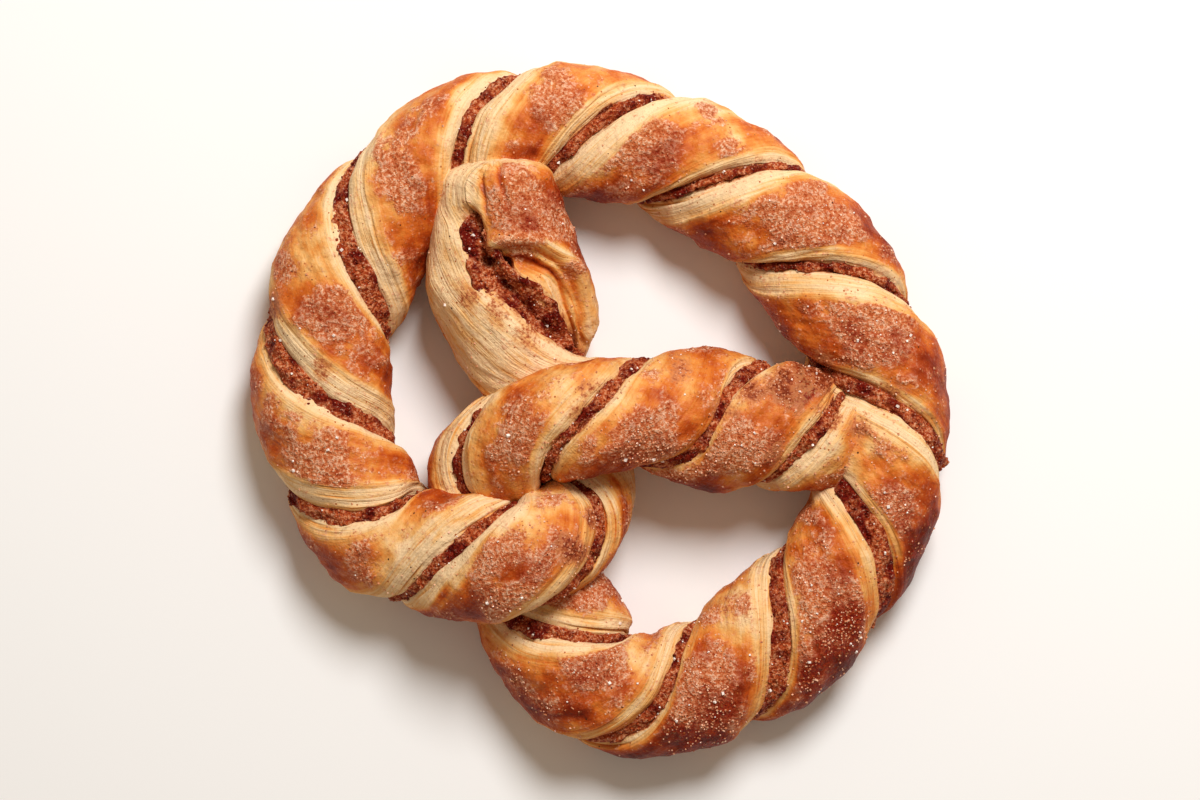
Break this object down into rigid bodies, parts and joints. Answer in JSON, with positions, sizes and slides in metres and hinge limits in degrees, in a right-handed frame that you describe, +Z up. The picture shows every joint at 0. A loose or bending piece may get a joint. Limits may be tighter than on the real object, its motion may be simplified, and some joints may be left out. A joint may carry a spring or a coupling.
{
  "type": "twisted cinnamon puff pastry pretzel",
  "caption": "Baked pretzel of twisted puff pastry with a cinnamon sugar filling showing in its seams, knotted in a loop with crossed arms.",
  "frame": {"origin": "middle of the outline as seen from above, on the tray the pretzel lies on", "axes": "+Z up, away from the tray; +Y towards the closed top of the loop where the first end is pressed on; +X towards the side of the loop that the second end meets"},
  "size_m": [0.1495, 0.1483, 0.0335],
  "materials": {
    "pastry": "baked puff pastry, golden to red-brown crust with pale cut layers, lightly sugared",
    "cinnamon_filling": "matte, granular baked cinnamon sugar"
  },
  "bodies": {
    "root": {"pastry": "pastry", "cinnamon_filling": "cinnamon_filling"}
  },
  "joints": []
}
